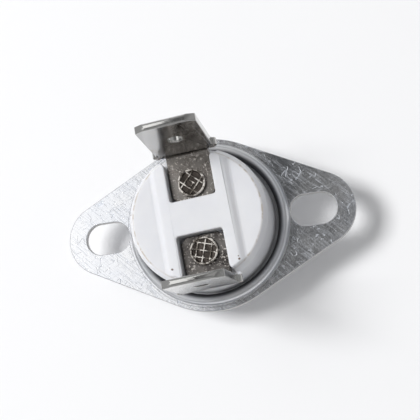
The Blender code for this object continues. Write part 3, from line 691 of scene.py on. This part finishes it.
def inverse(tree, mask):
    """White where the mask is black."""
    return maths(tree, "SUBTRACT", 1.0, mask)


def ramp(tree, source, low, high):
    """0 below low, 1 above high, smooth between them."""
    made = node(tree, "ShaderNodeMapRange", {"Value": source}, interpolation_type="SMOOTHSTEP")
    for key, value in (("From Min", low), ("From Max", high)):
        if isinstance(value, (int, float)):
            made.inputs[key].default_value = value
        else:
            tree.links.new(value, made.inputs[key])
    return made.outputs["Result"]


def blend_colour(tree, mask, first, second):
    """A colour that goes from the first to the second where the mask is white."""
    made = node(tree, "ShaderNodeMix", {"Factor": mask}, data_type="RGBA")
    for key, source in (("A", first), ("B", second)):
        socket = next(item for item in made.inputs if item.name == key and item.type == "RGBA")
        if isinstance(source, tuple):
            socket.default_value = (*source, 1.0)
        else:
            tree.links.new(source, socket)
    return next(item for item in made.outputs if item.type == "RGBA")


# %% Brushed scratches, hairlines and mottling
def make_brushed_group():
    inputs = {"Turn": 0.0, "Along": 400.0, "Across": 6000.0, "Low": 0.5, "High": 0.7}
    tree, given, result = new_group("brushed_scratches", inputs, ["Mask"])
    place = node(tree, "ShaderNodeTexCoord")
    spin_links = {"Vector": place.outputs["Object"], "Angle": given.outputs["Turn"]}
    turned = node(tree, "ShaderNodeVectorRotate", spin_links, rotation_type="Z_AXIS")
    sides = {"X": given.outputs["Along"], "Y": given.outputs["Across"], "Z": given.outputs["Across"]}
    stretch = node(tree, "ShaderNodeCombineXYZ", sides)
    scaled = node(tree, "ShaderNodeVectorMath", operation="MULTIPLY")
    tree.links.new(turned.outputs["Vector"], scaled.inputs[0])
    tree.links.new(stretch.outputs["Vector"], scaled.inputs[1])
    noise_values = {"Scale": 1.0, "Detail": 3.0, "Roughness": 0.6, "Distortion": 0.4}
    noise = node(tree, "ShaderNodeTexNoise", {"Vector": scaled.outputs["Vector"]}, noise_values)
    mask = ramp(tree, noise.outputs["Fac"], given.outputs["Low"], given.outputs["High"])
    tree.links.new(mask, result.inputs["Mask"])
    return tree


def make_hairline_group():
    inputs = {"Scale": 300.0, "Width": 0.012, "Patches": 0.5, "Seed": 0.0}
    tree, given, result = new_group("wandering_hairlines", inputs, ["Mask"])
    place = node(tree, "ShaderNodeTexCoord")
    links = {"Vector": place.outputs["Object"], "Scale": given.outputs["Scale"], "W": given.outputs["Seed"]}
    values = {"Detail": 1.5, "Distortion": 1.2}
    line = node(tree, "ShaderNodeTexNoise", links, values, noise_dimensions="4D")
    from_middle = maths(tree, "ABSOLUTE", maths(tree, "SUBTRACT", line.outputs["Fac"], 0.5))
    thin = inverse(tree, ramp(tree, from_middle, 0.0, given.outputs["Width"]))
    patch_links = {"Vector": place.outputs["Object"], "Scale": times(tree, given.outputs["Scale"], 1.7)}
    patch = node(tree, "ShaderNodeTexNoise", patch_links, {"Detail": 2.0})
    limit = plus(tree, given.outputs["Patches"], 0.06)
    part = ramp(tree, patch.outputs["Fac"], given.outputs["Patches"], limit)
    tree.links.new(times(tree, thin, part), result.inputs["Mask"])
    return tree


def make_mottle_group():
    inputs = {"Scale": 400.0, "Detail": 4.0, "Low": 0.35, "High": 0.65}
    tree, given, result = new_group("mottling", inputs, ["Mask"])
    place = node(tree, "ShaderNodeTexCoord")
    links = {label: given.outputs[label] for label in ("Scale", "Detail")}
    links["Vector"] = place.outputs["Object"]
    noise = node(tree, "ShaderNodeTexNoise", links, {"Roughness": 0.6})
    mask = ramp(tree, noise.outputs["Fac"], given.outputs["Low"], given.outputs["High"])
    tree.links.new(mask, result.inputs["Mask"])
    return tree


brushed_group = make_brushed_group()
hairline_group = make_hairline_group()
mottle_group = make_mottle_group()
print("shader groups:", [group.name for group in (brushed_group, hairline_group, mottle_group)])


# %% Places as masks
def use_group(tree, group, **values):
    made = tree.nodes.new("ShaderNodeGroup")
    made.node_tree = group
    for key, value in values.items():
        made.inputs[key].default_value = value
    return made.outputs["Mask"]


def new_finish(name, roughness, metallic=0.0):
    finish = bpy.data.materials.new(name)
    finish.use_nodes = True
    shader = finish.node_tree.nodes["Principled BSDF"]
    shader.inputs["Roughness"].default_value = roughness
    shader.inputs["Metallic"].default_value = metallic
    return finish, finish.node_tree, shader


def coordinates(tree):
    """The Object vector and its X, Y and Z sockets, in metres."""
    place = node(tree, "ShaderNodeTexCoord").outputs["Object"]
    split = node(tree, "ShaderNodeSeparateXYZ", {"Vector": place})
    return place, split.outputs["X"], split.outputs["Y"], split.outputs["Z"]


def axis_radius(tree, x, y, shift=0.0):
    """Distance from the cup's axis, or from the shifted axis of the ceramic."""
    x_squared = maths(tree, "POWER", maths(tree, "SUBTRACT", x, shift * MM), 2.0)
    return maths(tree, "SQRT", plus(tree, x_squared, maths(tree, "POWER", y, 2.0)))


def near(tree, value, middle, reach):
    """1 where a value is at a place, falling to 0 at a reach on each side."""
    off = maths(tree, "ABSOLUTE", maths(tree, "SUBTRACT", value, middle * MM))
    return inverse(tree, ramp(tree, off, 0.0, reach * MM))


def bump(tree, height, distance, strength=1.0, under=None):
    made = node(tree, "ShaderNodeBump", {"Height": height}, {"Distance": distance * MM, "Strength": strength})
    if under is not None:
        tree.links.new(under, made.inputs["Normal"])
    return made.outputs["Normal"]


# %% [markdown]
# ## The aluminium
# Drawn sheet is bright, but its surface is full of short brushed scratches, a few curling hairlines
# and faint rings left by the crimping tool round the ceramic. The scratches are a bump, so that they glint
# or darken with the light as real ones do, and they also change the roughness a little. They scatter the
# light too, as the torn grain of the punched edge does, so both are less metallic. The trough inside the
# ring is painted nearly black, as painted shade beside the ceramic. A thin groove outside the ring is
# painted darker, partly as a tool mark and partly as painted shade in the groove.

# %% Aluminium finish
def make_aluminium():
    finish, tree, shader = new_finish("worn drawn aluminium", 0.3, 1.0)
    _, x, y, z = coordinates(tree)
    radius = axis_radius(tree, x, y)
    brushed = use_group(tree, brushed_group, Turn=0.8, Along=500.0, Across=5200.0, Low=0.45, High=0.75)
    crossed = use_group(tree, brushed_group, Turn=-0.5, Along=700.0, Across=7000.0, Low=0.5, High=0.8)
    hairs = use_group(tree, hairline_group, Scale=330.0, Width=0.009, Patches=0.52)
    cloud = use_group(tree, mottle_group, Scale=160.0, Detail=5.0)
    fine = use_group(tree, mottle_group, Scale=2600.0, Detail=3.0)
    ring_wave = node(tree, "ShaderNodeTexNoise", values={"Scale": 1.0, "Detail": 2.0}, noise_dimensions="1D")
    tree.links.new(times(tree, radius, 9000.0), ring_wave.inputs["W"])
    ring_zone = inverse(tree, ramp(tree, radius, 9.3 * MM, 10.2 * MM))
    rings = times(tree, ring_wave.outputs["Fac"], times(tree, ring_zone, 0.3))
    groove = near(tree, radius, 9.42, 0.07)
    flat_zone = ramp(tree, radius, 9.2 * MM, 9.3 * MM)
    scratches = plus(tree, times(tree, brushed, 0.6), times(tree, crossed, 0.4))
    nicks = use_group(tree, mottle_group, Scale=2100.0, Detail=2.0, Low=0.66, High=0.72)
    lines = plus(tree, scratches, plus(tree, hairs, nicks), clamp=True)
    marks = times(tree, lines, flat_zone)
    height = maths(tree, "SUBTRACT", times(tree, rings, 0.6), marks)
    height = maths(tree, "SUBTRACT", height, times(tree, groove, 0.25))
    normal = bump(tree, height, 0.012, 0.55)
    normal = bump(tree, fine, 0.004, 0.5, normal)
    tone = blend_colour(tree, cloud, (0.72, 0.735, 0.77), (0.80, 0.805, 0.82))
    tone = blend_colour(tree, marks, tone, (0.66, 0.69, 0.75))
    # The groove line is painted darker, partly as a tool mark and partly as painted shade in the groove.
    tone = blend_colour(tree, times(tree, groove, 0.45), tone, (0.25, 0.26, 0.28))
    # Painted shade: the trough between ring and ceramic is painted nearly black, standing in for the ceramic's
    # shadow there.
    trough = inverse(tree, ramp(tree, radius, 8.2 * MM, 8.75 * MM))
    trough_shade = times(tree, trough, ramp(tree, z, 4.9 * MM, 5.05 * MM))
    tone = blend_colour(tree, times(tree, trough_shade, 0.95), tone, (0.07, 0.07, 0.075))
    below_top = inverse(tree, ramp(tree, z, (FLANGE_HIGH - 0.07) * MM, (FLANGE_HIGH - 0.02) * MM))
    above_under = ramp(tree, z, (FLANGE_LOW + 0.02) * MM, (FLANGE_LOW + 0.07) * MM)
    punched = times(tree, times(tree, below_top, above_under), flat_zone)
    tone = blend_colour(tree, punched, tone, (0.60, 0.59, 0.575))
    scattered = maths(tree, "MAXIMUM", times(tree, marks, 0.4), times(tree, punched, 0.85))
    tree.links.new(inverse(tree, scattered), shader.inputs["Metallic"])
    rough = plus(tree, 0.13, times(tree, cloud, 0.06))
    rough = plus(tree, rough, times(tree, scratches, 0.06))
    on_ring = maths(tree, "SUBTRACT", ramp(tree, radius, 7.6 * MM, 8.0 * MM), flat_zone, clamp=True)
    rough = plus(tree, rough, times(tree, on_ring, 0.2))
    rough = plus(tree, rough, times(tree, punched, 0.3))
    tree.links.new(tone, shader.inputs["Base Color"])
    tree.links.new(rough, shader.inputs["Roughness"])
    tree.links.new(normal, shader.inputs["Normal"])
    return finish


cup.data.materials.append(make_aluminium())

# %% [markdown]
# ## The ceramic
# Fired steatite is a cool white with a soft gloss, and a little light passes through its skin. Handling has
# worn its thin top edge to a tan line with small chips, and a few dark specks sit in the glaze. The edge is
# found by its distance from the body's axis and its height, and broken up with noise. The specks are small
# blots at chosen places.

# %% Ceramic finish
SPECKS = ((-7.6, 1.2, 0.13), (3.9, -5.3, 0.17), (-3.35, -5.5, 0.15), (3.85, -5.0, 0.1), (1.5, 6.4, 0.11))


def blot(tree, place, speck, noise):
    """A ragged spot round a place on the body, given as x, y and size in millimetres."""
    spot_x, spot_y, size = speck
    flat = node(tree, "ShaderNodeVectorMath", operation="MULTIPLY", values={1: (1.0, 1.0, 0.0)})
    tree.links.new(place, flat.inputs[0])
    middle = {1: (spot_x * MM, spot_y * MM, 0.0)}
    gap = node(tree, "ShaderNodeVectorMath", operation="DISTANCE", values=middle)
    tree.links.new(flat.outputs["Vector"], gap.inputs[0])
    ragged = plus(tree, gap.outputs["Value"], times(tree, noise, size * MM))
    return inverse(tree, ramp(tree, ragged, size * MM, 1.4 * size * MM))


def make_ceramic():
    finish, tree, shader = new_finish("fired white ceramic", 0.36)
    shader.inputs["Subsurface Weight"].default_value = 0.5
    shader.inputs["Subsurface Radius"].default_value = (1.0, 0.95, 0.9)
    shader.inputs["Subsurface Scale"].default_value = 0.8 * MM
    place, x, y, z = coordinates(tree)
    radius = axis_radius(tree, x, y, BODY_SHIFT)
    cloud = use_group(tree, mottle_group, Scale=220.0, Detail=3.0, Low=0.3, High=0.7)
    grain = use_group(tree, mottle_group, Scale=3000.0, Detail=3.0)
    chips = use_group(tree, mottle_group, Scale=1300.0, Detail=5.0, Low=0.48, High=0.56)
    worn = times(tree, near(tree, radius, BODY_TOP_RADIUS, 0.17), near(tree, z, BODY_TOP, 0.2))
    edge = times(tree, worn, plus(tree, times(tree, chips, 0.7), 0.3))
    tone = blend_colour(tree, cloud, (0.71, 0.715, 0.745), (0.745, 0.75, 0.77))
    tone = blend_colour(tree, edge, tone, (0.46, 0.40, 0.34))
    noise = node(tree, "ShaderNodeTexNoise", {"Vector": place}, {"Scale": 3500.0, "Detail": 2.0})
    for speck in SPECKS:
        tone = blend_colour(tree, blot(tree, place, speck, noise.outputs["Fac"]), tone, (0.16, 0.11, 0.09))
    normal = bump(tree, grain, 0.003, 0.4)
    normal = bump(tree, edge, -0.03, 0.7, normal)
    tree.links.new(tone, shader.inputs["Base Color"])
    tree.links.new(plus(tree, 0.3, times(tree, cloud, 0.14)), shader.inputs["Roughness"])
    tree.links.new(normal, shader.inputs["Normal"])
    return finish


body.data.materials.append(make_ceramic())

# %% [markdown]
# ## Nickel and steel
# The strips under the rivets are matt brownish grey with bright specks, where the riveting tool has pressed
# and scuffed the plating, and the lower strip is painted much darker than the upper, as painted shade. The
# upright tabs are smoother. One finish does both, and changes with height.
# The rivet heads are painted bright on their rim and ridges, partly as rubbed metal and partly as a painted
# highlight, and dark in the field between, partly as dirt and partly as painted shade.

# %% Nickel and rivet finishes
def make_nickel():
    finish, tree, shader = new_finish("scuffed nickel plating", 0.3, 1.0)
    y, z = coordinates(tree)[2:]
    on_tab = ramp(tree, z, 10.2 * MM, 11.2 * MM)
    specks = use_group(tree, mottle_group, Scale=4200.0, Detail=3.0, Low=0.56, High=0.66)
    cloud = use_group(tree, mottle_group, Scale=500.0, Detail=4.0)
    scratch = use_group(tree, brushed_group, Turn=0.6, Along=500.0, Across=4500.0, Low=0.5, High=0.75)
    on_strip = inverse(tree, on_tab)
    scuffed = times(tree, specks, on_strip)
    # Painted shade: the strips' tone darkens towards -y, so the lower strip is painted much darker than the
    # upper.
    upper = ramp(tree, y, -3.0 * MM, 7.0 * MM)
    shaded_strip_tone = blend_colour(tree, upper, (0.11, 0.10, 0.095), (0.36, 0.33, 0.305))
    tone = blend_colour(tree, times(tree, cloud, 0.6), shaded_strip_tone, (0.36, 0.34, 0.32))
    tone = blend_colour(tree, scuffed, tone, (0.80, 0.75, 0.70))
    tone = blend_colour(tree, on_tab, tone, (0.58, 0.575, 0.56))
    tree.links.new(inverse(tree, times(tree, scuffed, 0.4)), shader.inputs["Metallic"])
    rough = plus(tree, 0.12, times(tree, cloud, 0.08))
    rough = plus(tree, rough, times(tree, on_strip, 0.14))
    height = plus(tree, scuffed, times(tree, scratch, 0.4))
    tree.links.new(tone, shader.inputs["Base Color"])
    tree.links.new(rough, shader.inputs["Roughness"])
    tree.links.new(bump(tree, height, 0.015, 0.7), shader.inputs["Normal"])
    return finish


def make_plain_metal(name, dark, light, roughness, turn, depth=0.008):
    """A sheet or turned metal: two close tones in clouds, with a fine brushed grain."""
    finish, tree, shader = new_finish(name, roughness, 1.0)
    cloud = use_group(tree, mottle_group, Scale=700.0, Detail=4.0)
    grain = use_group(tree, brushed_group, Turn=turn, Along=700.0, Across=8000.0, Low=0.4, High=0.8)
    rough = plus(tree, roughness - 0.05, times(tree, cloud, 0.12))
    tree.links.new(blend_colour(tree, cloud, dark, light), shader.inputs["Base Color"])
    tree.links.new(rough, shader.inputs["Roughness"])
    tree.links.new(bump(tree, grain, depth, 0.6), shader.inputs["Normal"])
    return finish


def make_rivet_steel():
    """Rim and ridges painted bright, as worn metal and as a highlight, over a field painted dark, as dirt and
    as shade.
    """
    finish, tree, shader = new_finish("set rivet plating", 0.25, 1.0)
    z = coordinates(tree)[3]
    field_top = HEAD_LOW + HEAD_FIELD_HEIGHT
    # Below the crests the field is painted near black, partly dirt and partly painted shade in the recess; the
    # crests are painted bright, partly worn metal and partly a painted highlight.
    crests = ramp(tree, z, (field_top + 0.05) * MM, (field_top + RIDGE_HEIGHT - 0.03) * MM)
    cloud = use_group(tree, mottle_group, Scale=1300.0, Detail=3.0, Low=0.42, High=0.6)
    worn_and_highlit = blend_colour(tree, cloud, (0.26, 0.23, 0.20), (0.93, 0.88, 0.82))
    tree.links.new(blend_colour(tree, crests, (0.10, 0.085, 0.075), worn_and_highlit), shader.inputs["Base Color"])
    bright = times(tree, crests, cloud)
    tree.links.new(inverse(tree, times(tree, bright, 0.45)), shader.inputs["Metallic"])
    tree.links.new(bump(tree, cloud, 0.02, 0.7), shader.inputs["Normal"])
    return finish


nickel = make_nickel()
rivet_steel = make_rivet_steel()
for piece in (upper_tab, lower_tab):
    piece.data.materials.append(nickel)
for piece in (upper_head, lower_head):
    piece.data.materials.append(rivet_steel)


# %% [markdown]
# ## The pieces inside
# Nobody sees the disc, the guide, the pin and the contacts in the picture, but the switch can be opened.
# They keep their CAD shapes and get the finish that such pieces have: bimetal strip with a satin roll
# grain, dry pressed ceramic, spring bronze, brass and silver.

# %% Finishes of the inner pieces
def make_matt_ceramic(name, dark, light):
    finish, tree, shader = new_finish(name, 0.6)
    cloud = use_group(tree, mottle_group, Scale=500.0, Detail=4.0)
    grain = use_group(tree, mottle_group, Scale=4000.0, Detail=2.0)
    tree.links.new(blend_colour(tree, cloud, dark, light), shader.inputs["Base Color"])
    tree.links.new(bump(tree, grain, 0.006, 0.6), shader.inputs["Normal"])
    return finish


def dress(node_name, finish):
    """Gives a CAD node a finish on its object's slots, so that its mesh stays untouched."""
    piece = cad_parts[node_name]
    for place in piece.material_slots:
        place.link = "OBJECT"
        place.material = finish


silver = make_plain_metal("contact silver", (0.78, 0.77, 0.74), (0.88, 0.87, 0.85), 0.25, 0.0)
brass = make_plain_metal("plate brass", (0.70, 0.54, 0.27), (0.78, 0.62, 0.34), 0.3, 1.57)
dress("bimetal_disc", make_plain_metal("bimetal strip", (0.47, 0.45, 0.42), (0.56, 0.54, 0.51), 0.35, 0.2))
dress("disc_guide", make_matt_ceramic("guide ceramic", (0.76, 0.74, 0.68), (0.82, 0.80, 0.74)))
dress("push_pin", make_matt_ceramic("pin ceramic", (0.84, 0.83, 0.80), (0.88, 0.87, 0.84)))
dress("contact_arm", make_plain_metal("spring bronze", (0.66, 0.44, 0.24), (0.74, 0.52, 0.30), 0.3, 1.57))
dress("arm_washer", make_plain_metal("washer steel", (0.50, 0.49, 0.47), (0.60, 0.59, 0.57), 0.33, 0.0))
dress("fixed_contact_plate", brass)
dress("moving_contact", silver)
dress("fixed_contact", silver)

# %% [markdown]
# ## Floor, light and camera
# The picture is a plain studio shot on a near-white table, with a soft light high on the left. The camera
# and all mirrors see the table a touch brighter than its colour, which brings it close to white. A strong
# lamp would bleach the metal where it mirrors it, so the soft box is hidden from mirrors, and dimmer cards
# stand in for it there. The left card's edge lies so that the left half of the flange mirrors it and the
# right half the dim room. The camera looks down from the front right, a hand's breadth away.

# %% Floor
FLOOR_METRES = 3.0
FLOOR_GAP = 0.02
FLOOR_GLOW = 0.06

bpy.ops.object.select_all(action="DESELECT")
bpy.ops.mesh.primitive_plane_add(size=FLOOR_METRES, location=(0.0, 0.0, -FLOOR_GAP * MM))
floor = bpy.context.active_object
floor.name = "floor"
floor_finish, floor_tree, floor_shader = new_finish("pale table", 0.7)
floor_shader.inputs["Base Color"].default_value = (0.83, 0.83, 0.84, 1.0)
floor_shader.inputs["Emission Color"].default_value = (1.0, 1.0, 1.0, 1.0)
ray = node(floor_tree, "ShaderNodeLightPath").outputs
seen = maths(floor_tree, "MAXIMUM", ray["Is Camera Ray"], ray["Is Glossy Ray"])
seen = maths(floor_tree, "MAXIMUM", seen, ray["Is Transmission Ray"])
floor_tree.links.new(times(floor_tree, seen, FLOOR_GLOW), floor_shader.inputs["Emission Strength"])
floor.data.materials.append(floor_finish)

# %% Light
def panel(name, place, target, size, radiance):
    """A soft box or card whose face looks at a target; sizes in millimetres, brightness per face area."""
    width, depth = (side * MM for side in size)
    lamp = bpy.data.lights.new(name, "AREA")
    lamp.shape = "RECTANGLE"
    lamp.size = width
    lamp.size_y = depth
    lamp.energy = radiance * math.pi * width * depth
    holder = bpy.data.objects.new(name, lamp)
    holder.location = Vector(place) * MM
    toward = Vector(target) - Vector(place)
    holder.rotation_euler = toward.to_track_quat("-Z", "Y").to_euler()
    bpy.context.scene.collection.objects.link(holder)
    return holder


KEY_PLACE = (-486, 130, 746)
KEY_TARGET = (0, 0, 5)
key = panel("soft_box", KEY_PLACE, KEY_TARGET, (300, 300), 21.0)
key.visible_glossy = False
panel("glint_card", KEY_PLACE, KEY_TARGET, (270, 270), 3.5)
card = panel("left_card", (-216, 105, 450), (-216, 105, 0), (240, 420), 1.1)
card.rotation_euler.z = math.radians(4)
panel("right_card", (100, 0, 450), (100, 0, 0), (180, 240), 0.35)


def light_room(low_sky, high_sky):
    """A plain room that is brighter round the horizon than straight above."""
    world = bpy.data.worlds.new("room")
    world.use_nodes = True
    tree = world.node_tree
    way = node(tree, "ShaderNodeTexCoord").outputs["Generated"]
    up = node(tree, "ShaderNodeSeparateXYZ", {"Vector": way}).outputs["Z"]
    blend = node(tree, "ShaderNodeMapRange", {"Value": up}, {"To Min": low_sky, "To Max": high_sky})
    blend.inputs["From Min"].default_value = 0.7
    blend.inputs["From Max"].default_value = 0.95
    back = tree.nodes["Background"]
    back.inputs["Color"].default_value = (0.98, 0.99, 1.0, 1.0)
    tree.links.new(blend.outputs["Result"], back.inputs["Strength"])
    bpy.context.scene.world = world


light_room(0.42, 0.08)

# %% Camera
CAMERA_TARGET = Vector((0.317, 1.555, 5.1)) * MM
CAMERA_DISTANCE = 100.25 * MM
CAMERA_AZIMUTH = math.radians(-49.8)
CAMERA_ELEVATION = math.radians(74.6)
CAMERA_ROLL = math.radians(-6.4)
FOCAL_PIXELS = 884
IMAGE_PIXELS = 420

lift = math.cos(CAMERA_ELEVATION)
back = Vector((lift * math.cos(CAMERA_AZIMUTH), lift * math.sin(CAMERA_AZIMUTH), math.sin(CAMERA_ELEVATION)))
right = Vector((-math.sin(CAMERA_ROLL), math.cos(CAMERA_ROLL), 0.0)).cross(back).normalized()
camera_data = bpy.data.cameras.new("camera")
camera_data.sensor_width = 36.0
camera_data.lens = FOCAL_PIXELS / IMAGE_PIXELS * camera_data.sensor_width
camera_data.clip_start = 0.005
camera_data.clip_end = 10.0
camera = bpy.data.objects.new("camera", camera_data)
bpy.context.scene.collection.objects.link(camera)
turned = Matrix((right, back.cross(right), back)).transposed().to_4x4()
camera.matrix_world = Matrix.Translation(CAMERA_TARGET + back * CAMERA_DISTANCE) @ turned
bpy.context.scene.camera = camera
bpy.context.scene.view_settings.view_transform = "Standard"
print("camera at", [round(value / MM, 1) for value in camera.location])
